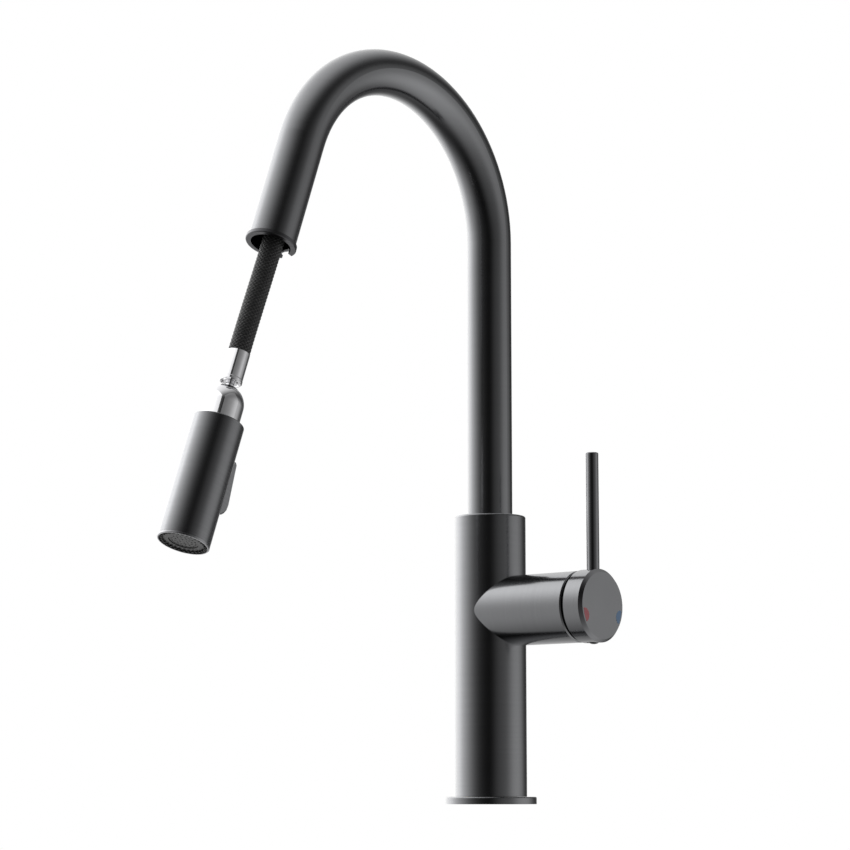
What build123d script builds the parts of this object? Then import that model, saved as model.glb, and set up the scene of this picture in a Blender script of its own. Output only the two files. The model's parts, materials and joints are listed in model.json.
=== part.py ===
from build123d import *
import os
from math import acos, cos, radians, sin

# Pull down kitchen faucet, in millimetres.
# Origin: middle of the base flange's underside, on the deck. +Z is up, the spout points to -Y
# and the handle to +X.

# ---------------------------------------------------------------- driving dimensions
SMALL = 0.1                 # gap between pieces of one body that lie face to face
RUNNING = 0.05              # radial clearance of a turning or sliding fit

FLANGE_R = 28.5
FLANGE_H = 4.5
COLUMN_R = 22.5
COLUMN_TOP = 180.6
COLUMN_BORE_R = 18.5
SOCKET_R = 16.0             # bore that holds the spout's bearings
SOCKET_Z = 150.0

SHANK_R = 16.5
SHANK_BORE_R = 14.8
SHANK_BOTTOM = -62.0
SHANK_TOP = 12.0
DECK = 20.0                 # thickness of deck that the nut is set for
NUT_R = 21.0                # to the hexagon's corners
NUT_H = 10.0

BLOCK_Z0 = 92.0             # waterway block
BLOCK_Z1 = 148.0
PORT_R = 4.0
PORT_DEPTH = 10.0
INLET_XY = (3.5, 10.2)      # hot and cold inlets at plus and minus Y
OUTLET_X = 9.5
HOSE_X = -5.5               # where the hose passes the block and the shank
HOSE_PASSAGE_R = 6.7

SPOUT_R = 14.2
SPOUT_BORE_R = 13.2
SPOUT_Z0 = 151.0
BEND_Z = 358.0              # where the riser ends and the bend starts
BEND_R = 91.5
BEND_TURN = 159.5           # degrees
SPOUT_END = 70.7            # straight stretch after the bend
COLLAR_R = 15.3
COLLAR_BORE_R = 12.0
COLLAR_LIP = 1.5            # how far the collar's lip overlaps the end of the tube
COLLAR_END = 0.9            # and how far it stands beyond the mouth
NOTCH_WIDTH = 8.0
NOTCH_DEPTH = 2.8

HOSE_R = 6.25
HOSE_BORE_R = 3.5
FERRULE_R = 6.6

# The head's pieces are placed by their distance from the spout's mouth along the spout's axis,
# with the head pulled out as far as it is at rest.
FERRULE_Z0 = 73.0
FERRULE_Z1 = 92.0
DOME_Z0 = 96.0
BALL_Z = 101.0
BALL_R = 5.0
HEAD_Z0 = 117.6
HEAD_Z1 = 192.8
HEAD_R = 15.0
DOME_R = 11.6
DOME_SHOULDER_Z = 106.6     # where the dome's cylinder turns into half an ellipse
DOME_RISE = 12.2            # half height of that ellipse
DOME_MOUTH_R = 4.3          # hole that the ball stud's neck leaves by
ROCKER_Z0 = 135.4
ROCKER_Z1 = 168.1
ROCKER_WIDTH = 11.0
PIN_Y = -10.0               # the rocker's pin
PIN_Z = 151.0
PLUNGER_Z = 162.0
NOZZLE_COUNT = 30
NOZZLE_RING_R = 12.5

HANDLE_Z = 120.0            # height of the handle's axis
BOSS_R = 22.0
BOSS_END = 72.0
BOSS_BORE_R = 17.8
CARTRIDGE_R = 17.5
CARTRIDGE_X0 = 26.1
CARTRIDGE_X1 = 58.0
GAP_LIP_R = 20.0
GAP_LIP_X = 73.5
CAP_R = 22.5
CAP_X0 = 74.3
CAP_X1 = 88.0
CAP_FLOOR_X = 84.5
CAP_BORE_R = 21.0
LEVER_X = 81.0
PIVOT_X = 54.0              # the cartridge's cross pin, which the lever tilts on
PIVOT_R = 1.25
LEVER_R = 3.95
LEVER_TOP = 214.6

# ---------------------------------------------------------------- helpers
UPWARD = (Align.CENTER, Align.CENTER, Align.MIN)
MOUTH_Y = -BEND_R + BEND_R * cos(radians(BEND_TURN)) - SPOUT_END * sin(radians(BEND_TURN))
MOUTH_Z = BEND_Z + BEND_R * sin(radians(BEND_TURN)) + SPOUT_END * cos(radians(BEND_TURN))
SPOUT_DIRECTION = (0, -sin(radians(BEND_TURN)), cos(radians(BEND_TURN)))
# local Z runs out of the mouth, and local -Y faces the column
MOUTH = Plane(origin=(0, MOUTH_Y, MOUTH_Z), x_dir=(1, 0, 0), z_dir=SPOUT_DIRECTION)
# local Z runs along +X of the faucet, and local X points up
HANDLE = Plane(origin=(0, 0, HANDLE_Z), x_dir=(0, 0, 1), z_dir=(1, 0, 0))


def disc(radius, low, high, x=0.0, y=0.0):
    """A cylinder along Z between two heights."""
    return Pos(x, y, low) * Cylinder(radius, high - low, align=UPWARD)


def ring(outer, inner, low, high, x=0.0, y=0.0):
    return disc(outer, low, high, x, y) - disc(inner, low - 1, high + 1, x, y)


def block(x, y, z):
    """A box between two X, two Y and two Z values."""
    size = [b - a for a, b in (x, y, z)]
    middle = [(a + b) / 2 for a, b in (x, y, z)]
    return Pos(*middle) * Box(*size)


def cross_pin(radius, length, y, z):
    """A cylinder along X, centred on the YZ plane."""
    return Pos(0, y, z) * Rot(0, 90, 0) * Cylinder(radius, length)


def radial_pin(radius, low, high, x, y=0.0):
    """A cylinder along the handle plane's local X, from one distance to another."""
    return Pos(low, y, x) * Rot(0, 90, 0) * Cylinder(radius, high - low, align=UPWARD)


def turned(points):
    """A solid of revolution about Z from a closed outline of (radius, height)."""
    outline = make_face(Polyline([(r, 0, z) for r, z in points], close=True))
    return revolve(outline, Axis.Z)


def chamfered(solid, height, size, longest=True):
    """Chamfer the outermost round edge at a height."""
    edges = solid.edges().filter_by(GeomType.CIRCLE)
    edges = edges.filter_by(lambda e: abs(e.center().Z - height) < 1e-3)
    edge = edges.sort_by(SortBy.RADIUS)[-1 if longest else 0]
    return chamfer(edge, size)


def rounded(solid, height, size):
    """Fillet the outermost round edge at a height."""
    edges = solid.edges().filter_by(GeomType.CIRCLE)
    edges = edges.filter_by(lambda e: abs(e.center().Z - height) < 1e-3)
    return fillet(edges.sort_by(SortBy.RADIUS)[-1], size)


def around(count, radius, solid):
    """Copies of a solid, evenly spaced on a circle about Z."""
    return [Rot(0, 0, 360 * i / count) * Pos(radius, 0, 0) * solid for i in range(count)]


# ---------------------------------------------------------------- deck mounting
def base_flange():
    body = ring(FLANGE_R, SHANK_R + SMALL, 0, FLANGE_H)
    body = rounded(body, FLANGE_H, 0.8)
    return body - ring(25.5, 20.0, -1, 1.6)


def deck_seal():
    return ring(25.4, 20.1, 0, 1.5)


def mounting_shank():
    body = ring(SHANK_R, SHANK_BORE_R, SHANK_BOTTOM, SHANK_TOP)
    return chamfered(body, SHANK_BOTTOM, 0.8)


def rubber_washer():
    return ring(24.0, SHANK_R + SMALL, -DECK - 3, -DECK)


def steel_washer():
    return ring(24.0, SHANK_R + SMALL, -DECK - 5, -DECK - 3 - SMALL)


def mounting_nut():
    top = -DECK - 5 - SMALL
    body = Pos(0, 0, top - NUT_H) * extrude(RegularPolygon(NUT_R, 6), NUT_H)
    body &= chamfered(disc(NUT_R, top - NUT_H, top), top - NUT_H, 1.5)
    return body - disc(SHANK_R + SMALL, top - NUT_H - 1, top + 1)


# ---------------------------------------------------------------- column
def column_body():
    body = disc(COLUMN_R, FLANGE_H + SMALL, COLUMN_TOP)
    body = rounded(body, COLUMN_TOP, 1.2)
    body -= disc(SHANK_R, 0, SHANK_TOP + SMALL)
    body -= disc(COLUMN_BORE_R, SHANK_TOP + SMALL, SOCKET_Z)
    body -= disc(SOCKET_R, SOCKET_Z - 1, COLUMN_TOP - 2)
    body -= disc(SPOUT_R + 0.15, COLUMN_TOP - 3, COLUMN_TOP + 1)
    body -= HANDLE.location * disc(BOSS_BORE_R, 0, BOSS_END + 1)
    return body


def handle_boss():
    """The side branch, cut to sit on the column."""
    body = chamfered(disc(BOSS_R, 0, BOSS_END), BOSS_END, 0.7)
    body -= disc(BOSS_BORE_R, -1, BOSS_END + 1)
    return HANDLE.location * body - disc(COLUMN_R, 50, COLUMN_TOP)


def waterway_block():
    """Takes hot and cold water to the cartridge and mixed water down to the outlet port."""
    body = disc(COLUMN_BORE_R - SMALL, BLOCK_Z0, BLOCK_Z1)
    body += HANDLE.location * disc(BOSS_BORE_R - SMALL, 0, CARTRIDGE_X0 - SMALL)
    body -= disc(HOSE_PASSAGE_R, BLOCK_Z0 - 1, BLOCK_Z1 + 1, HOSE_X)
    x, y = INLET_XY
    for port_x, port_y in ((x, y), (x, -y), (OUTLET_X, 0)):
        body -= disc(PORT_R, BLOCK_Z0 - 1, BLOCK_Z0 + PORT_DEPTH, port_x, port_y)
        body -= disc(2.5, BLOCK_Z0, HANDLE_Z - 3, port_x, port_y)
        channel = Pos(-3, port_y, port_x) * Cylinder(2.4, CARTRIDGE_X0, align=UPWARD)
        body -= HANDLE.location * channel
    return body


def hose_in_column():
    """The hose from its connector up to where the spout's own stretch starts."""
    points = [(HOSE_X, 0, -80), (HOSE_X, 0, 151), (0, 0, 169), (0, 0, 177.9)]
    path = FilletPolyline(*points, radius=30)
    section = Plane(origin=points[0], z_dir=(0, 0, 1)) * Circle(HOSE_R)
    return sweep(section, path=path)


def hose_connector():
    body = disc(7.2, -92, -80 - SMALL, HOSE_X)
    body += disc(5.0, -102, -92, HOSE_X)
    return body - disc(HOSE_BORE_R, -103, -79, HOSE_X)


def thrust_washer():
    return ring(SOCKET_R - SMALL, 13.0, BLOCK_Z1 + SMALL, SPOUT_Z0 - SMALL)


def lower_bearing():
    return ring(SOCKET_R - SMALL, SPOUT_R + RUNNING, 153, 160)


def upper_bearing():
    return ring(SOCKET_R - SMALL, SPOUT_R + RUNNING, 169, 176)


def spout_seal():
    return ring(SOCKET_R - SMALL, SPOUT_R + RUNNING, 162.5, 166.5)


# ---------------------------------------------------------------- cartridge
def cartridge_housing():
    body = disc(CARTRIDGE_R, CARTRIDGE_X0, CARTRIDGE_X1)
    body -= disc(15.0, CARTRIDGE_X0 + 3, CARTRIDGE_X1 - 2.2)
    body -= disc(9.2, CARTRIDGE_X1 - 3, CARTRIDGE_X1 + 1)
    for angle in (90, 210, 330):
        body -= Rot(0, 0, angle) * disc(2.4, CARTRIDGE_X0 - 1, CARTRIDGE_X0 + 4, 8)
    return HANDLE.location * body


def ceramic_disc_fixed():
    body = disc(14.8, 29.2, 32.9)
    for angle in (90, 210, 330):
        body -= Rot(0, 0, angle) * disc(2.4, 29, 34, 8)
    return HANDLE.location * body


def ceramic_disc_moving():
    body = disc(12.5, 33.0, 37.5) - disc(6.0, 32, 35)
    return HANDLE.location * body


def pivot(radius, length):
    """A cylinder along Y on the axis that the lever tilts on."""
    return Pos(0, 0, PIVOT_X) * Rot(90, 0, 0) * Cylinder(radius, length)


def pivot_pin():
    return HANDLE.location * pivot(PIVOT_R, 25)


def cartridge_rotor():
    """Turns with the handle and carries the lever's slot."""
    body = disc(14.9, 38.0, 55.5) + disc(9.1, 55, 61)
    body -= block((-7.6, 7.6), (-4.3, 4.3), (44, 62))
    return HANDLE.location * (body - pivot(PIVOT_R, 25))


def cartridge_nut():
    body = ring(BOSS_BORE_R - SMALL, 10.5, CARTRIDGE_X1 + SMALL, 66)
    return HANDLE.location * body


def gap_ring():
    """The dark ring between the boss and the cap, with a lip that closes the groove."""
    lip = BOSS_END + SMALL
    body = ring(BOSS_BORE_R - SMALL, 12.0, 66 + SMALL, lip) + ring(GAP_LIP_R, 12.0, lip, GAP_LIP_X)
    return HANDLE.location * body


# ---------------------------------------------------------------- handle
def mark_outline(side):
    """A lens at the rim of the cap's face, 20 degrees below its middle."""
    lens = Circle(19.4) & (Pos(0, side * 19.3, 0) * Circle(4.4))
    return Rot(0, 0, side * 20) * lens


def handle_cap():
    body = chamfered(disc(CAP_R, CAP_X0, CAP_X1), CAP_X1, 2.0)
    body = chamfered(body, CAP_X0, 0.4)
    body -= disc(CAP_BORE_R, CAP_X0 - 1, CAP_FLOOR_X)
    body += disc(8.0, 77, CAP_FLOOR_X)
    body += block((4, CAP_BORE_R + 0.3), (-6, 6), (76.5, CAP_FLOOR_X))
    body += block((-CAP_BORE_R - 0.3, -4), (-5, 5), (78.2, CAP_FLOOR_X))
    body -= block((-4.1, 4.1), (-4.1, 4.1), (76, 83.2))
    body -= radial_pin(LEVER_R, 8, 30, LEVER_X)
    body -= radial_pin(2.5, -20, -2, LEVER_X)
    body -= radial_pin(4.25, -30, -19, LEVER_X)
    for side in (1, -1):
        body -= Pos(0, 0, CAP_X1 - 0.7) * extrude(mark_outline(side), 2)
    return HANDLE.location * body


def lever_rod():
    body = disc(LEVER_R, HANDLE_Z + 8.1, LEVER_TOP, LEVER_X)
    return rounded(body, LEVER_TOP, 0.8)


def cartridge_lever():
    body = block((-4, 4), (-4, 4), (46, 83)) - radial_pin(2.5, -5, -3.6, LEVER_X)
    return HANDLE.location * (body - pivot(PIVOT_R + RUNNING, 10))


def grub_screw():
    body = radial_pin(2.45, -15, -3.7, LEVER_X)
    socket = Pos(-16, 0, LEVER_X) * Rot(0, 90, 0) * extrude(RegularPolygon(1.4, 6), 4)
    return HANDLE.location * (body - socket)


def plug_dome():
    """The plug's shallow domed end, which stands just out of the cap."""
    radius = (4.2 ** 2 + 1.7 ** 2) / (2 * 1.7)
    ball = Pos(-23.3 + radius, 0, LEVER_X) * Sphere(radius)
    return ball & radial_pin(4.2, -24, -21.6, LEVER_X)


def screw_plug():
    body = radial_pin(4.2, -21.6, -19.1, LEVER_X) + radial_pin(2.4, -19.5, -15.2, LEVER_X)
    body += plug_dome()
    return HANDLE.location * body


def mark(side):
    inlay = extrude(mark_outline(side), 0.7)
    return HANDLE.location * Pos(0, 0, CAP_X1 - 0.65) * inlay


# ---------------------------------------------------------------- spout
def spout_path(z0, end):
    """Riser, bend and straight end, from a height to a distance before the mouth."""
    riser = Line((0, 0, z0), (0, 0, BEND_Z))
    bend_plane = Plane(origin=(0, -BEND_R, BEND_Z), x_dir=(0, 1, 0), z_dir=(1, 0, 0))
    bend = bend_plane * CenterArc((0, 0), BEND_R, 0, BEND_TURN)
    tip = MOUTH.location * Pos(0, 0, -end)
    straight = Line(bend @ 1, tip.position)
    return Wire([riser.edge(), bend.edge(), straight.edge()])


def piped(radius, z0, end):
    section = Plane(origin=(0, 0, z0), z_dir=(0, 0, 1)) * Circle(radius)
    return sweep(section, path=spout_path(z0, end))


def spout_notch():
    """Cutter for the slot that keys the docked head, on the side facing the column."""
    half = NOTCH_WIDTH / 2
    body = block((-half, half), (-20, -5), (-NOTCH_DEPTH, 3))
    corners = body.edges().filter_by(lambda e: abs(e.center().Z + NOTCH_DEPTH) < 0.01)
    body = fillet(corners.filter_by(Axis.Y), 1.6)
    return MOUTH.location * body


def spout_tube():
    body = piped(SPOUT_R, SPOUT_Z0, COLLAR_LIP) - piped(SPOUT_BORE_R, SPOUT_Z0, COLLAR_LIP)
    return body - spout_notch()


def spout_collar():
    body = ring(COLLAR_R, COLLAR_BORE_R, -COLLAR_LIP + 0.05, COLLAR_END)
    body = chamfered(body, COLLAR_END, 0.4)
    body += ring(SPOUT_BORE_R - 0.05, COLLAR_BORE_R, -14, -COLLAR_LIP + 0.5)
    return MOUTH.location * body - spout_notch()


def hose_in_spout():
    riser = Line((0, 0, 178), (0, 0, BEND_Z))
    bend_plane = Plane(origin=(0, -BEND_R, BEND_Z), x_dir=(0, 1, 0), z_dir=(1, 0, 0))
    bend = bend_plane * CenterArc((0, 0), BEND_R, 0, BEND_TURN)
    section = Plane(origin=(0, 0, 178), z_dir=(0, 0, 1)) * Circle(HOSE_R)
    return sweep(section, path=Wire([riser.edge(), bend.edge()]))


# ---------------------------------------------------------------- hose end and ball joint
def pulled_hose():
    return MOUTH.location * disc(HOSE_R, -SPOUT_END + SMALL, FERRULE_Z0 - SMALL)


def hose_ferrule():
    outline = [(4.05, FERRULE_Z0), (FERRULE_R, FERRULE_Z0), (FERRULE_R, FERRULE_Z1 - 2.4)]
    outline += [(FERRULE_R + 0.15, FERRULE_Z1 - 2.0), (FERRULE_R + 0.15, FERRULE_Z1 - 0.6)]
    outline += [(FERRULE_R - 0.4, FERRULE_Z1), (5.5, FERRULE_Z1), (5.1, FERRULE_Z1 - 0.8)]
    outline += [(4.6, FERRULE_Z1 - 0.8), (4.05, FERRULE_Z1 - 0.3)]
    return MOUTH.location * turned(outline)


def ball_stud():
    body = disc(4.0, FERRULE_Z0 + 4, FERRULE_Z1)
    body += disc(2.5, FERRULE_Z1 - 1, BALL_Z)
    body += Pos(0, 0, BALL_Z) * Sphere(BALL_R)
    return MOUTH.location * (body - disc(1.5, FERRULE_Z0, BALL_Z + 10))


# ---------------------------------------------------------------- spray head
def ball_seat():
    body = disc(6.5, DOME_Z0 + 2.4, DOME_Z0 + 16)
    body -= Pos(0, 0, BALL_Z) * Sphere(BALL_R + RUNNING)
    body -= disc(BALL_R - 0.2, BALL_Z, DOME_Z0 + 17)
    body -= disc(4.5, DOME_Z0, BALL_Z)
    return MOUTH.location * body


def head_dome():
    """The blunt guide that centres the head in the spout: half an ellipse on a short cylinder."""
    steps = 6
    curve = []
    for i in range(steps + 1):
        angle = acos(DOME_MOUTH_R / DOME_R) * i / steps
        curve.append((DOME_R * cos(angle), 0, DOME_SHOULDER_Z - DOME_RISE * sin(angle)))
    seat = DOME_Z0 + 2.2
    flange = HEAD_Z0 + 2.1
    outline = [curve[-1], (DOME_MOUTH_R, 0, seat), (6.6, 0, seat), (6.6, 0, flange + 1.9)]
    outline += [(13.2, 0, flange + 1.9), (13.2, 0, flange), (DOME_R, 0, flange), curve[0]]
    profile = Spline(curve, tangents=[(0, 0, -1), (-1, 0, -0.25)])
    return MOUTH.location * revolve(make_face(Curve() + [profile, Polyline(outline)]), Axis.Z)


def head_shell():
    body = disc(HEAD_R, HEAD_Z0, HEAD_Z1 - 1.5)
    body = rounded(body, HEAD_Z0, 0.5)
    body -= disc(DOME_R + SMALL, HEAD_Z0 - 1, HEAD_Z1)
    body -= disc(13.8, HEAD_Z0 + 2, HEAD_Z1)
    body -= disc(14.1, HEAD_Z1 - 4.6, HEAD_Z1)
    lug = ring(HEAD_R - 0.2, 12.3, HEAD_Z0 - 2.2, HEAD_Z0 + 1)
    body += lug & block((-3.5, 3.5), (-20, -5), (HEAD_Z0 - 5, HEAD_Z0 + 3))
    half = ROCKER_WIDTH / 2 + 0.4
    body -= block((-half, half), (-20, -8), (ROCKER_Z0 - 0.8, ROCKER_Z1 + 0.8))
    return MOUTH.location * body


def rocker_profile():
    """Side outline of the button: a wedge that stands further out at its lower end."""
    low, high = ROCKER_Z0, ROCKER_Z1
    points = [(-10.8, low), (-17.3, low), (-18.0, low + 0.7), (-20.3, high - 8.1)]
    points += [(-19.9, high - 4.8), (-18.6, high - 2.3), (-16.9, high - 0.6), (-15.2, high)]
    points += [(-10.8, high)]
    return make_face(Polyline([(0, y, z) for y, z in points], close=True))


def rocker_button():
    body = extrude(rocker_profile(), ROCKER_WIDTH / 2, both=True)
    sides = body.edges().filter_by(lambda e: e.center().Y < -17 and abs(e.center().X) > 5)
    body = chamfer(sides, 0.9)
    body += cross_pin(2.6, 10, PIN_Y, PIN_Z)
    return MOUTH.location * (body - cross_pin(1.0 + RUNNING, 20, PIN_Y, PIN_Z))


def rocker_pin():
    return MOUTH.location * cross_pin(1.0, 16, PIN_Y, PIN_Z)


def diverter_plunger():
    body = Pos(0, -10.6, PLUNGER_Z) * Rot(-90, 0, 0) * Cylinder(1.5, 6.4, align=UPWARD)
    return MOUTH.location * body


def head_core():
    """The valve body inside the head, with a pocket for the rocker."""
    body = disc(13.7, HEAD_Z0 + 4.1, HEAD_Z1 - 7.5)
    body -= block((-6.5, 6.5), (-15, -7), (ROCKER_Z0 - 1, ROCKER_Z1 + 1))
    body -= cross_pin(1.0, 16.2, PIN_Y, PIN_Z)
    body -= Pos(0, -8, PLUNGER_Z) * Rot(-90, 0, 0) * Cylinder(1.55, 7, align=UPWARD)
    body -= disc(5.1, HEAD_Z0, HEAD_Z0 + 15)
    body -= disc(2.5, HEAD_Z0 + 14, HEAD_Z1, 0, 4)
    return MOUTH.location * body


def check_valve():
    body = ring(5.0, 2.2, HEAD_Z0 + 4.3, HEAD_Z0 + 14.8)
    return MOUTH.location * body


def spray_nozzles():
    """One rubber pad whose tips stand out through the face plate."""
    body = ring(13.7, 9.0, HEAD_Z1 - 7.4, HEAD_Z1 - 4.6)
    tip = Pos(0, 0, HEAD_Z1 - 5) * Cone(0.95, 0.65, 4.9, align=UPWARD)
    for copy in around(NOZZLE_COUNT, NOZZLE_RING_R, tip):
        body += copy
    return MOUTH.location * body


def face_plate():
    body = ring(14.0, 8.6, HEAD_Z1 - 4.5, HEAD_Z1 - 0.9)
    hole = disc(1.05, HEAD_Z1 - 5, HEAD_Z1)
    for copy in around(NOZZLE_COUNT, NOZZLE_RING_R, hole):
        body -= copy
    return MOUTH.location * body


def face_ring():
    body = ring(HEAD_R, 14.1, HEAD_Z1 - 1.4, HEAD_Z1)
    return MOUTH.location * chamfered(body, HEAD_Z1, 0.35)


def aerator_insert():
    body = disc(8.5, HEAD_Z1 - 7.4, HEAD_Z1 - 1.3)
    for count, radius in ((6, 2.4), (12, 4.8), (18, 7.0)):
        for copy in around(count, radius, disc(0.45, HEAD_Z1 - 3, HEAD_Z1)):
            body -= copy
    return MOUTH.location * body


# ---------------------------------------------------------------- all pieces
NODES = {
    "base_flange": base_flange,
    "deck_seal": deck_seal,
    "mounting_shank": mounting_shank,
    "rubber_washer": rubber_washer,
    "steel_washer": steel_washer,
    "mounting_nut": mounting_nut,
    "column_body": column_body,
    "handle_boss": handle_boss,
    "waterway_block": waterway_block,
    "hose_in_column": hose_in_column,
    "hose_connector": hose_connector,
    "thrust_washer": thrust_washer,
    "lower_bearing": lower_bearing,
    "upper_bearing": upper_bearing,
    "spout_seal": spout_seal,
    "cartridge_housing": cartridge_housing,
    "ceramic_disc_fixed": ceramic_disc_fixed,
    "ceramic_disc_moving": ceramic_disc_moving,
    "cartridge_rotor": cartridge_rotor,
    "pivot_pin": pivot_pin,
    "cartridge_nut": cartridge_nut,
    "gap_ring": gap_ring,
    "handle_cap": handle_cap,
    "lever_rod": lever_rod,
    "cartridge_lever": cartridge_lever,
    "grub_screw": grub_screw,
    "screw_plug": screw_plug,
    "hot_mark": lambda: mark(1),
    "cold_mark": lambda: mark(-1),
    "spout_tube": spout_tube,
    "spout_collar": spout_collar,
    "hose_in_spout": hose_in_spout,
    "pulled_hose": pulled_hose,
    "hose_ferrule": hose_ferrule,
    "ball_stud": ball_stud,
    "ball_seat": ball_seat,
    "head_dome": head_dome,
    "head_shell": head_shell,
    "head_core": head_core,
    "check_valve": check_valve,
    "spray_nozzles": spray_nozzles,
    "face_plate": face_plate,
    "face_ring": face_ring,
    "aerator_insert": aerator_insert,
    "rocker_button": rocker_button,
    "rocker_pin": rocker_pin,
    "diverter_plunger": diverter_plunger,
}

os.makedirs("parts", exist_ok=True)
for name, make in NODES.items():
    solid = make()
    export_step(solid, f"parts/{name}.step")
    print(name, len(solid.solids()), round(solid.volume))
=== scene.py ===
import json
from math import cos, pi, radians, sin, tau

import bpy
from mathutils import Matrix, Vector


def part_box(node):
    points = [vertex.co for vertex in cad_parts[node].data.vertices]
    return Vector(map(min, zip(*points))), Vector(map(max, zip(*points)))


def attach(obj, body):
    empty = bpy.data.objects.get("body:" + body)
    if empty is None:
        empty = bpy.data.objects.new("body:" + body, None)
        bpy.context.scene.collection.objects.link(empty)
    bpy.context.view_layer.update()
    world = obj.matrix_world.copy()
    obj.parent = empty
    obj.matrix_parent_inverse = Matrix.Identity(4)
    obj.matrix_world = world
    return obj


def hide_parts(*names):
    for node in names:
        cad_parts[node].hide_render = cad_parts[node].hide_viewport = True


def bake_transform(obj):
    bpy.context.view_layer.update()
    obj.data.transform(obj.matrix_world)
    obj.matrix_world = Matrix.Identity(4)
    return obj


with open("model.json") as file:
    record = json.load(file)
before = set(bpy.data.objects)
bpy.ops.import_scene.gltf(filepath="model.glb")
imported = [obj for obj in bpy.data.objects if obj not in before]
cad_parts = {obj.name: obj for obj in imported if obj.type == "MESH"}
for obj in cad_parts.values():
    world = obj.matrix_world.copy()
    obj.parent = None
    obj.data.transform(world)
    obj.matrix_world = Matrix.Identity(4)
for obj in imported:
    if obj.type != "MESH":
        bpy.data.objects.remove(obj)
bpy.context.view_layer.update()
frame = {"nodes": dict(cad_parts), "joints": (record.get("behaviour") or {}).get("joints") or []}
MM = 0.001
WHITE = (1.0, 1.0, 1.0, 1.0)

# ---------------------------------------------------------------- camera
CAMERA_AZIMUTH = radians(39)
CAMERA_DISTANCE = 1.573
CAMERA_HEIGHT = 0.008
CAMERA_FORWARD = Vector((-0.6426, 0.7522, 0.1457))
LENS_MM = 105.3
SENSOR_MM = 36.0
NEAREST_SEEN = 0.05


def add_camera():
    data = bpy.data.cameras.new("camera")
    data.lens = LENS_MM
    data.sensor_width = SENSOR_MM
    data.clip_start = NEAREST_SEEN
    camera = bpy.data.objects.new("camera", data)
    camera.location = (CAMERA_DISTANCE * sin(CAMERA_AZIMUTH),
                       -CAMERA_DISTANCE * cos(CAMERA_AZIMUTH), CAMERA_HEIGHT)
    camera.rotation_euler = CAMERA_FORWARD.to_track_quat("-Z", "Y").to_euler()
    bpy.context.scene.collection.objects.link(camera)
    bpy.context.scene.camera = camera


add_camera()

# ---------------------------------------------------------------- the spout's axis, from the frame
# The spout rises, turns through its bend and ends in a straight stretch that points OUT.
SLIDE = next(j for j in frame["joints"] if j["name"] == "hose_slide")
OUT = -Vector(SLIDE["axis"]).normalized()          # out of the spout's mouth
SIDE = Vector((1, 0, 0))
REAR = -OUT.cross(SIDE)                            # towards the column
BEND_RADIUS = 91.5 * MM
BEND_HEIGHT = 358 * MM
BEND_TURN = radians(159.5)
STRAIGHT_END = 70.7 * MM
MOUTH = (Vector((0, BEND_RADIUS * (cos(BEND_TURN) - 1), BEND_HEIGHT + BEND_RADIUS * sin(BEND_TURN)))
         + OUT * STRAIGHT_END)


def along(distance, rear=0.0, side=0.0):
    """A point by its distance out of the mouth, towards the column and sideways, in mm."""
    return MOUTH + (OUT * distance + REAR * rear + SIDE * side) * MM


# ---------------------------------------------------------------- shader helpers
class NodeTree:
    """The nodes of a material or a world, with short calls for the ones used here."""

    def __init__(self, owner):
        owner.use_nodes = True
        self.nodes = owner.node_tree.nodes
        self.links = owner.node_tree.links

    def node(self, kind, **inputs):
        node = self.nodes.new("ShaderNode" + kind)
        for key, value in inputs.items():
            self.feed(node.inputs[key.replace("_", " ")], value)
        return node

    def feed(self, socket, value):
        if isinstance(value, bpy.types.NodeSocket):
            self.links.new(value, socket)
        else:
            socket.default_value = value

    def math(self, operation, a, b=0.0):
        node = self.nodes.new("ShaderNodeMath")
        node.operation = operation
        self.feed(node.inputs[0], a)
        self.feed(node.inputs[1], b)
        return node.outputs[0]

    def dot(self, vector, axis):
        node = self.nodes.new("ShaderNodeVectorMath")
        node.operation = "DOT_PRODUCT"
        self.feed(node.inputs[0], vector)
        node.inputs[1].default_value = axis
        return node.outputs["Value"]


class Shader(NodeTree):
    """A material that is built on the Principled shader."""

    def __init__(self, name, **values):
        self.material = bpy.data.materials.new(name)
        super().__init__(self.material)
        self.bsdf = self.nodes["Principled BSDF"]
        for key, value in values.items():
            self.bsdf.inputs[key.replace("_", " ")].default_value = value

    def position(self):
        return self.node("TexCoord").outputs["Object"]

    def noise(self, vector, scale, detail=4.0, roughness=0.6):
        node = self.node("TexNoise", Vector=vector, Scale=scale, Detail=detail, Roughness=roughness)
        return node.outputs["Fac"]

    def span(self, value, low, high, new_low, new_high):
        node = self.nodes.new("ShaderNodeMapRange")
        for socket, number in zip(node.inputs, (value, low, high, new_low, new_high)):
            self.feed(socket, number)
        return node.outputs[0]

    def mix(self, factor, a, b):
        node = self.nodes.new("ShaderNodeMix")
        node.data_type = "RGBA"
        self.feed(node.inputs["Factor"], factor)
        colours = [s for s in node.inputs if s.type == "RGBA"]
        self.feed(colours[0], a)
        self.feed(colours[1], b)
        return next(s for s in node.outputs if s.type == "RGBA")

    def bump(self, height, strength, distance):
        node = self.node("Bump", Strength=strength, Distance=distance, Height=height)
        return node.outputs["Normal"]

    def put(self, **values):
        for key, value in values.items():
            self.feed(self.bsdf.inputs[key.replace("_", " ")], value)
        return self.material


def grey(level, tint=(1.0, 1.0, 1.0)):
    return (level * tint[0], level * tint[1], level * tint[2], 1.0)


# ---------------------------------------------------------------- materials
MOST = (0.3, 0.7)           # most of a noise's values lie between these
SMUDGE_SCALE = 38.0
FLECK_SCALE = 700.0
AROUND_SCALE = 18.0         # how fast a turning line changes on its way round the piece


def scaled(colour, factor):
    return tuple(min(1.0, c * factor) for c in colour[:3]) + (1.0,)


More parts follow.
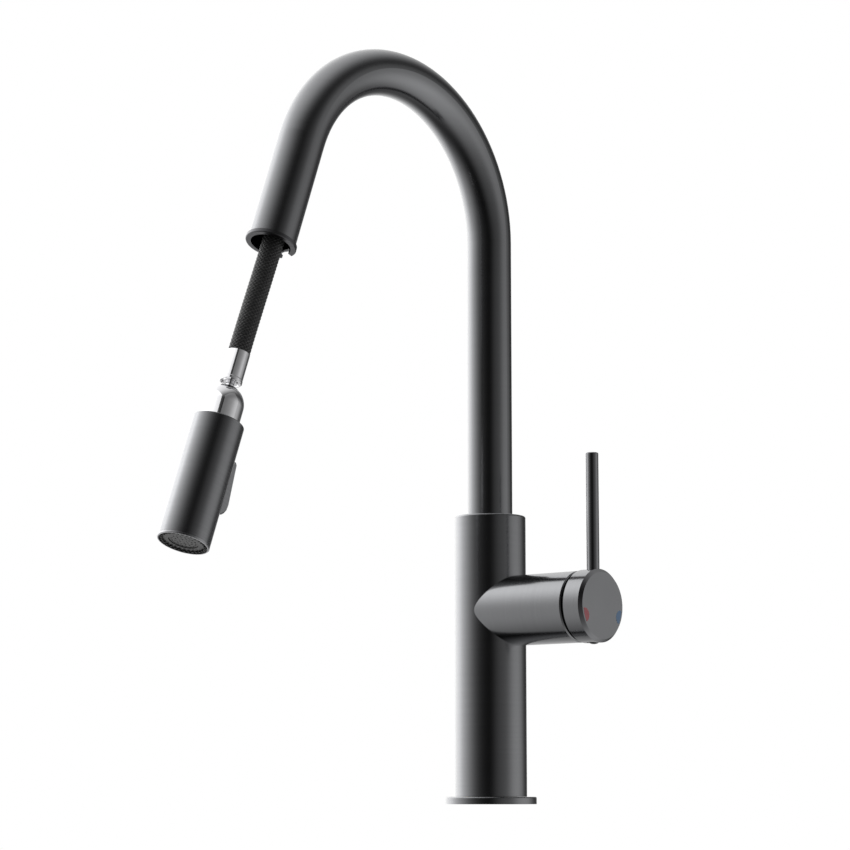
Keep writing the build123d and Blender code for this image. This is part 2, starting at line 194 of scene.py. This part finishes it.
def turned_metal(name, axis, colour, roughness, lines_mm=0.3, contrast=0.05, depth=0.02):
    """Metal with fine turning lines round an axis, slow smudges and a few small bright specks."""
    s = Shader(name, Metallic=1.0)
    axis = Vector(axis).normalized()
    across = axis.orthogonal().normalized()
    third = axis.cross(across)
    place = s.position()
    # squeezed along the axis, so the noise becomes lines that run round the piece
    lines = s.node("CombineXYZ", X=s.math("MULTIPLY", s.dot(place, axis), 1.0 / (lines_mm * MM)),
                   Y=s.math("MULTIPLY", s.dot(place, across), AROUND_SCALE),
                   Z=s.math("MULTIPLY", s.dot(place, third), AROUND_SCALE)).outputs[0]
    grain = s.noise(lines, 1.0, 3.0, 0.6)
    smudge = s.noise(place, SMUDGE_SCALE, 3.0, 0.55)
    fleck = s.noise(place, FLECK_SCALE, 2.0, 0.5)
    rough = s.math("ADD", s.span(grain, *MOST, -0.015, 0.015),
                   s.span(smudge, *MOST, roughness - 0.012, roughness + 0.02))
    tone = s.span(grain, *MOST, 0.0, 1.0)
    body = s.mix(tone, scaled(colour, 1 - contrast), scaled(colour, 1 + contrast))
    body = s.mix(s.span(fleck, 0.72, 0.8, 0.0, 0.12), body, scaled(colour, 1.5))
    return s.put(Base_Color=body, Roughness=rough, Normal=s.bump(grain, depth, 0.00002))


def polished(name, colour, roughness=0.05):
    """Bright plating with faint water marks."""
    s = Shader(name, Metallic=1.0)
    marks = s.noise(s.position(), 240.0, 4.0, 0.6)
    haze = s.span(marks, 0.45, 0.75, roughness, roughness + 0.05)
    tone = s.mix(s.span(marks, 0.4, 0.8, 0.0, 1.0), colour, scaled(colour, 0.93))
    return s.put(Base_Color=tone, Roughness=haze, Normal=s.bump(marks, 0.01, 0.00005))


def moulded(name, colour, roughness=0.5, grain=2500.0, depth=0.1, **values):
    """Plastic, rubber or ceramic with a fine moulded grain and uneven sheen."""
    s = Shader(name, **values)
    place = s.position()
    fine = s.noise(place, grain, 3.0, 0.6)
    slow = s.noise(place, 60.0, 2.0, 0.5)
    return s.put(Base_Color=s.mix(s.span(slow, *MOST, 0.0, 1.0), scaled(colour, 0.85), colour),
                 Roughness=s.span(fine, *MOST, roughness - 0.05, roughness + 0.05),
                 Normal=s.bump(fine, depth, 0.00003))


def enamel(name, colour):
    """Thin translucent enamel over the metal, a little worn."""
    s = Shader(name, Roughness=0.3)
    spots = s.noise(s.position(), 1500.0, 3.0, 0.6)
    wear_and_painted_highlight = s.span(spots, 0.45, 0.7, 0.0, 0.35)
    return s.put(Base_Color=s.mix(wear_and_painted_highlight, colour, grey(0.2)), Normal=s.bump(spots, 0.1, 0.00003))


def yarn():
    """Nylon multifilament: fine fibres along each strand, and a painted highlight that makes each
    strand's crown lighter.
    """
    s = Shader("braid_yarn", Sheen_Weight=0.2, Sheen_Roughness=0.4)
    uv = s.node("UVMap").outputs["UV"]
    parts = s.node("SeparateXYZ", Vector=uv)
    fibre = s.node("CombineXYZ", X=s.math("MULTIPLY", parts.outputs[0], 3.0),
                   Y=s.math("MULTIPLY", parts.outputs[1], 9.0)).outputs[0]
    grain = s.noise(fibre, 1.0, 3.0, 0.6)
    slow = s.noise(s.position(), 300.0, 2.0, 0.5)
    # u runs from crown to crown, and v across the strand
    crown = s.math("COSINE", s.math("MULTIPLY", parts.outputs[0], tau))
    middle = s.math("SINE", s.math("MULTIPLY", parts.outputs[1], pi))
    # painted highlight: the middle of each strand's crown is painted lighter, more strongly in some
    # places along the hose than in others
    wear_and_painted_highlight = s.math("MULTIPLY", s.span(crown, 0.1, 1.0, 0.0, 1.0), s.span(middle, 0.5, 1.0, 0.0, 1.0))
    wear_and_painted_highlight = s.math("MULTIPLY", wear_and_painted_highlight, s.span(slow, 0.35, 0.65, 0.25, 1.0))
    body = s.mix(s.span(grain, 0.35, 0.65, 0.0, 1.0), grey(0.008), grey(0.022))
    # the painted highlight mixes the yarn's colour towards a lighter grey
    body = s.mix(wear_and_painted_highlight, body, grey(0.11))
    return s.put(Base_Color=body, Roughness=s.span(grain, *MOST, 0.45, 0.62),
                 Normal=s.bump(grain, 0.35, 0.00006))


Z_AXIS = (0, 0, 1)
X_AXIS = (1, 0, 0)
GUNMETAL = (0.195, 0.197, 0.203, 1.0)
BODY_METAL = scaled(GUNMETAL, 1.12)
HEAD_METAL = scaled(GUNMETAL, 1.09)
MATERIALS = {
    "upright_metal": turned_metal("gunmetal_upright", Z_AXIS, BODY_METAL, 0.19),
    "cross_metal": turned_metal("gunmetal_cross", X_AXIS, BODY_METAL, 0.17),
    "head_metal": turned_metal("gunmetal_head", OUT, HEAD_METAL, 0.19, 0.6, 0.07, 0.03),
    "tube_metal": turned_metal("gunmetal_tube", Z_AXIS, GUNMETAL, 0.19, 2.0, 0.02, 0.0),
    "collar_metal": turned_metal("collar_metal", OUT, (0.10, 0.10, 0.105, 1.0), 0.3),
    "rim_metal": turned_metal("rim_metal", OUT, (0.30, 0.30, 0.31, 1.0), 0.24),
    "chrome": polished("chrome", (0.56, 0.56, 0.57, 1.0)),
    "brass": turned_metal("brass", Z_AXIS, (0.62, 0.44, 0.20, 1.0), 0.28, 0.4, 0.12),
    "steel": turned_metal("zinc_steel", Z_AXIS, (0.55, 0.55, 0.57, 1.0), 0.33, 0.4, 0.1),
    "rubber": moulded("rubber", grey(0.02), 0.62),
    "nozzle_rubber": moulded("nozzle_rubber", grey(0.035), 0.55),
    "white_plastic": moulded("acetal", (0.74, 0.74, 0.71, 1.0), 0.45),
    "grey_plastic": moulded("filled_nylon", grey(0.045), 0.48),
    "face_plastic": moulded("face_plastic", grey(0.06), 0.42),
    "black_plastic": moulded("black_plastic", grey(0.008), 0.35),
    "ceramic": moulded("ceramic", (0.80, 0.80, 0.76, 1.0), 0.25),
    "red": enamel("red_enamel", (0.50, 0.10, 0.12, 1.0)),
    "blue": enamel("blue_enamel", (0.12, 0.24, 0.42, 1.0)),
    "yarn": yarn(),
}

LOOKS = {
    "upright_metal": ["base_flange", "column_body", "lever_rod"],
    "cross_metal": ["handle_boss", "handle_cap"],
    "tube_metal": ["spout_tube"],
    "head_metal": ["head_shell", "rocker_button"],
    "collar_metal": ["spout_collar"],
    "rim_metal": ["face_ring"],
    "chrome": ["hose_ferrule", "head_dome", "ball_stud"],
    "brass": ["mounting_shank", "mounting_nut", "hose_connector", "cartridge_nut"],
    "steel": ["steel_washer", "rocker_pin", "pivot_pin", "grub_screw", "cartridge_lever"],
    "rubber": ["deck_seal", "rubber_washer", "spout_seal"],
    "nozzle_rubber": ["spray_nozzles"],
    "white_plastic": ["thrust_washer", "lower_bearing", "upper_bearing", "ball_seat",
                      "diverter_plunger", "cartridge_rotor", "check_valve"],
    "grey_plastic": ["waterway_block", "cartridge_housing", "head_core"],
    "face_plastic": ["face_plate", "aerator_insert"],
    # gap_ring is drawn as a plain black ring in the band round the head's face
    "black_plastic": ["gap_ring", "screw_plug", "hose_in_column", "hose_in_spout"],
    "ceramic": ["ceramic_disc_fixed", "ceramic_disc_moving"],
    "red": ["hot_mark"],
    "blue": ["cold_mark"],
}


def dress(node, material):
    mesh = frame["nodes"][node].data
    mesh.materials.clear()
    mesh.materials.append(material)


for look, nodes in LOOKS.items():
    for node in nodes:
        dress(node, MATERIALS[look])


# ---------------------------------------------------------------- braided hose
HOSE_RADIUS = 6.1 * MM      # to the middle of the strands
STRANDS = 16                # each way round
BRAID_LEAD = 38.0 * MM      # length in which a strand goes once round
STRAND_WIDTH = 1.56 * MM
CROSSING = BRAID_LEAD / STRANDS / 2
WAVE = 0.22 * MM            # how far a strand rises and sinks at its crossings
# across a strand: share of half its width, and height in mm
STRAND_SECTION = [(-1.0, -0.16), (-0.62, 0.10), (0.0, 0.2), (0.62, 0.10), (1.0, -0.16)]
LINER_RADIUS = HOSE_RADIUS - 0.25 * MM
LINER_SIDES = 48
LINER_STEPS = 60
LOWER_END = 90.0            # mm of hose drawn above the connector below the deck
REACH = -SLIDE["range_m"][0]    # how far the head pulls out past its place at rest
FERRULE_TOP = 73.0              # mm out of the mouth


def mesh_piece(name, points, faces, material, uvs=None):
    mesh = bpy.data.meshes.new(name)
    mesh.from_pydata(points, [], faces)
    for polygon in mesh.polygons:
        polygon.use_smooth = True
    if uvs:
        layer = mesh.uv_layers.new(name="UVMap")
        for loop in mesh.loops:
            layer.data[loop.index].uv = uvs[loop.vertex_index]
    mesh.materials.append(material)
    piece = bpy.data.objects.new(name, mesh)
    bpy.context.scene.collection.objects.link(piece)
    return piece


def braid(name, stations, centre, side, rear):
    """Strands that wind both ways round a line and pass over and under each other.

    Each station is a place along the line and the length of hose up to there.
    """
    points, faces, uvs = [], [], []
    row = len(STRAND_SECTION)
    for way in (1, -1):
        for strand in range(STRANDS):
            first = len(points)
            for place, length in stations:
                turn = way * tau * (length / BRAID_LEAD + strand / STRANDS)
                lift = way * WAVE * cos(pi * length / CROSSING)
                phase = length / CROSSING / 2 + (0 if way > 0 else 0.5)
                for across, height in STRAND_SECTION:
                    radius = HOSE_RADIUS + lift + height * MM
                    angle = turn + across * STRAND_WIDTH / 2 / cos(pi / 4) / HOSE_RADIUS
                    points.append(centre(place) + (side * cos(angle) + rear * sin(angle)) * radius)
                    uvs.append((phase, (across + 1) / 2))
            for i in range(len(stations) - 1):
                for k in range(row - 1):
                    a = first + i * row + k
                    quad = (a, a + 1, a + row + 1, a + row)
                    faces.append(quad if way > 0 else quad[::-1])
    return mesh_piece(name, points, faces, MATERIALS["yarn"], uvs)


def hose_liner(name, start, end, centre, side, rear):
    """The dark tube that shows between the strands."""
    points, faces = [], []
    for i in range(LINER_STEPS + 1):
        middle = centre(start + (end - start) * i / LINER_STEPS)
        for k in range(LINER_SIDES):
            angle = tau * k / LINER_SIDES
            points.append(middle + (side * cos(angle) + rear * sin(angle)) * LINER_RADIUS)
    for i in range(LINER_STEPS):
        for k in range(LINER_SIDES):
            a = i * LINER_SIDES + k
            b = i * LINER_SIDES + (k + 1) % LINER_SIDES
            faces.append((a, b, b + LINER_SIDES, a + LINER_SIDES))
    return mesh_piece(name, points, faces, MATERIALS["black_plastic"])


def even_stations(start, end, step_mm=0.45):
    """Hose at its natural length between two places in mm."""
    span = end - start
    count = int(span / step_mm)
    return [(start + span * i / count, span * MM * i / count) for i in range(count + 1)]


def smooth_share(place, start, end):
    share = min(1.0, max(0.0, (place - start) / (end - start)))
    return share * share * (3 - 2 * share)


# The stretch below the seam is drawn as it is at rest. The stretch above it, inside the spout, is
# packed so closely that it has its natural length once the head is pulled all the way out.
SEAM = -6.0
OUTER_BLEND = (-235.0, FERRULE_TOP)
INNER_START = -69.0
HOSE_LEAN = 1.1                 # mm that the hose leans to the rear in the mouth
MOST_LEAN = -10.0               # where it leans most, in mm out of the mouth


def inner_blend_end():
    """Where the inner stretch's blend ends, so that both stretches move alike at the seam."""
    wanted = smooth_share(SEAM, *OUTER_BLEND)
    low, high = SEAM, -INNER_START
    for _ in range(40):
        middle = (low + high) / 2
        if smooth_share(SEAM, INNER_START, middle) > wanted:
            low = middle
        else:
            high = middle
    return low


def packed_stations(start, end, blend_end, step_mm=0.6):
    """Hose whose length at each place is the one it has when fully pulled out."""
    stations = []
    tries = 4000
    places = [start + (end - start) * i / tries for i in range(tries + 1)]
    for place in places:
        length = (place - start) * MM + REACH * smooth_share(place, start, blend_end)
        if not stations or length - stations[-1][1] >= step_mm * MM or place == places[-1]:
            stations.append((place, length))
    return stations


def hanging(place):
    """A point on the hose's middle line, which leans to the rear of the mouth and ends in the ferrule."""
    lean = smooth_share(place, INNER_START, MOST_LEAN) * (1 - smooth_share(place, MOST_LEAN, FERRULE_TOP))
    return along(place, HOSE_LEAN * lean)


def pulled_hose():
    blend_end = inner_blend_end()
    packed = packed_stations(INNER_START, SEAM, blend_end)
    outer = [braid("hose_braid", even_stations(SEAM, FERRULE_TOP), hanging, SIDE, REAR),
             hose_liner("hose_liner", SEAM, FERRULE_TOP, hanging, SIDE, REAR)]
    inner = [braid("hose_braid_inner", packed, hanging, SIDE, REAR),
             hose_liner("hose_liner_inner", INNER_START, SEAM, hanging, SIDE, REAR)]
    for parts, (start, end) in ((outer, OUTER_BLEND), (inner, (INNER_START, blend_end))):
        for part in parts:
            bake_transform(part)
    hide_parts("pulled_hose")


def hose_below_deck():
    """The hose's lower end, between the connector and the shank's top."""
    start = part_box("hose_in_column")[0].z / MM
    end = start + LOWER_END
    low_corner, high_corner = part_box("hose_connector")
    middle = (low_corner + high_corner) / 2
    across = (Vector((0, 1, 0)), Vector((-1, 0, 0)))

    def centre(height):
        return Vector((middle.x, middle.y, height * MM))

    parts = [braid("column_hose_braid", even_stations(start, end), centre, *across),
             hose_liner("column_hose_liner", start, end, centre, *across)]
    for part in parts:
        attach(part, "column")
    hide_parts("hose_in_column")


pulled_hose()
hose_below_deck()

# ---------------------------------------------------------------- light
# Large soft lights round the object: degrees clockwise from the camera seen from above, degrees up,
# level, degrees to where it has faded to a third, and how sharply it ends (2 is a plain bell).
SOFT_LIGHTS = {
    "key": (-113, 29, 3.0, 24, 1.08),
    "low_key": (-99, -15, 0.9, 37, 2.2),
    "overhead": (-130, 61, 1.4, 53, 3.8),
    "side": (93, -3, 0.4, 32, 3.4),
    "fill": (97, -40, 0.95, 42, 2.5),
    "low_fill": (65, -20, 0.26, 56, 5.5),
    "backdrop": (-146, -5, 1.9, 37, 3.2),
}


ALMOST_ONE = 0.99999        # keeps rounding from taking a cosine past 1


def studio_direction(turn, rise):
    """Unit vector by degrees clockwise from the camera, seen from above, and degrees up."""
    heading = radians(turn)
    near = Vector((sin(CAMERA_AZIMUTH), -cos(CAMERA_AZIMUTH), 0))
    right = Vector((cos(CAMERA_AZIMUTH), sin(CAMERA_AZIMUTH), 0))
    level = near * cos(heading) + right * sin(heading)
    return level * cos(radians(rise)) + Vector((0, 0, 1)) * sin(radians(rise))


def soft_light(tree, direction, turn, rise, level, width, sharpness):
    """The level that one soft light adds in a direction, given as a socket."""
    towards = tree.dot(direction, studio_direction(turn, rise))
    angle = tree.math("ARCCOSINE", tree.math("MINIMUM", towards, ALMOST_ONE))
    fall = tree.math("POWER", tree.math("DIVIDE", angle, radians(width)), sharpness)
    return tree.math("MULTIPLY", tree.math("EXPONENT", tree.math("MULTIPLY", fall, -1.0)), level)


def studio_world():
    """The soft lights as everything but the camera sees them: the camera sees plain white."""
    world = bpy.data.worlds.new("studio")
    bpy.context.scene.world = world
    tree = NodeTree(world)
    tree.nodes.clear()
    direction = tree.node("TexCoord").outputs["Generated"]
    total = 0.0
    for settings in SOFT_LIGHTS.values():
        total = tree.math("ADD", soft_light(tree, direction, *settings), total)
    lit = tree.node("Background", Strength=total)
    plain = tree.node("Background", Color=WHITE)
    seen = tree.node("MixShader", Fac=tree.node("LightPath").outputs["Is Camera Ray"])
    tree.feed(seen.inputs[1], lit.outputs[0])
    tree.feed(seen.inputs[2], plain.outputs[0])
    tree.node("OutputWorld", Surface=seen.outputs[0])


# Cards that only the chromed pieces mirror, as in a product photograph: degrees clockwise from the
# camera seen from above, width in metres and level.
CHROME_CARDS = {"white_card": (-64, 5.5, 1.25), "grey_card": (57, 3.5, 0.22)}
CARD_DISTANCE = 2.0
CARD_RISE = 5               # degrees up
CARD_PROPORTION = 1.4       # height over width


def chrome_cards():
    """Two large area lights that reach only the chromed pieces, and that the camera can't see."""
    mirrored = bpy.data.collections.new("chromed")
    for node in LOOKS["chrome"]:
        mirrored.objects.link(frame["nodes"][node])
    for name, (turn, width, level) in CHROME_CARDS.items():
        data = bpy.data.lights.new(name, "AREA")
        data.shape = "RECTANGLE"
        data.size = width
        data.size_y = width * CARD_PROPORTION
        data.energy = level * pi * data.size * data.size_y
        card = bpy.data.objects.new(name, data)
        toward = studio_direction(turn, CARD_RISE)
        card.location = MOUTH + toward * CARD_DISTANCE
        card.rotation_euler = toward.to_track_quat("Z", "Y").to_euler()
        card.visible_camera = False
        card.light_linking.receiver_collection = mirrored
        bpy.context.scene.collection.objects.link(card)


PLINTH_RADIUS = 0.13
PLINTH_SIDES = 128
FLOOR_DEPTH = 0.25          # the head hangs lower than the deck when it is pulled out
FLOOR_SIZE = 30


def pale_surface():
    """Plain white, with no shading."""
    material = bpy.data.materials.new("pale_floor")
    tree = NodeTree(material)
    tree.nodes.clear()
    glow = tree.node("Emission", Color=WHITE)
    tree.node("OutputMaterial", Surface=glow.outputs[0])
    return material


def pale_floor():
    """A round plinth, which the faucet is mounted in, on a wide floor. Only the camera sees them."""
    material = pale_surface()
    bpy.ops.mesh.primitive_cylinder_add(vertices=PLINTH_SIDES, radius=PLINTH_RADIUS, depth=FLOOR_DEPTH,
                                        location=(0, 0, -FLOOR_DEPTH / 2))
    plinth = bpy.context.active_object
    plinth.name = "plinth"
    bpy.ops.mesh.primitive_plane_add(size=FLOOR_SIZE, location=(0, 0, -FLOOR_DEPTH))
    floor = bpy.context.active_object
    floor.name = "floor"
    for surface in (plinth, floor):
        surface.data.materials.append(material)
        surface.visible_glossy = False
        surface.visible_diffuse = False


studio_world()
chrome_cards()
pale_floor()
bpy.context.scene.view_settings.view_transform = "Standard"
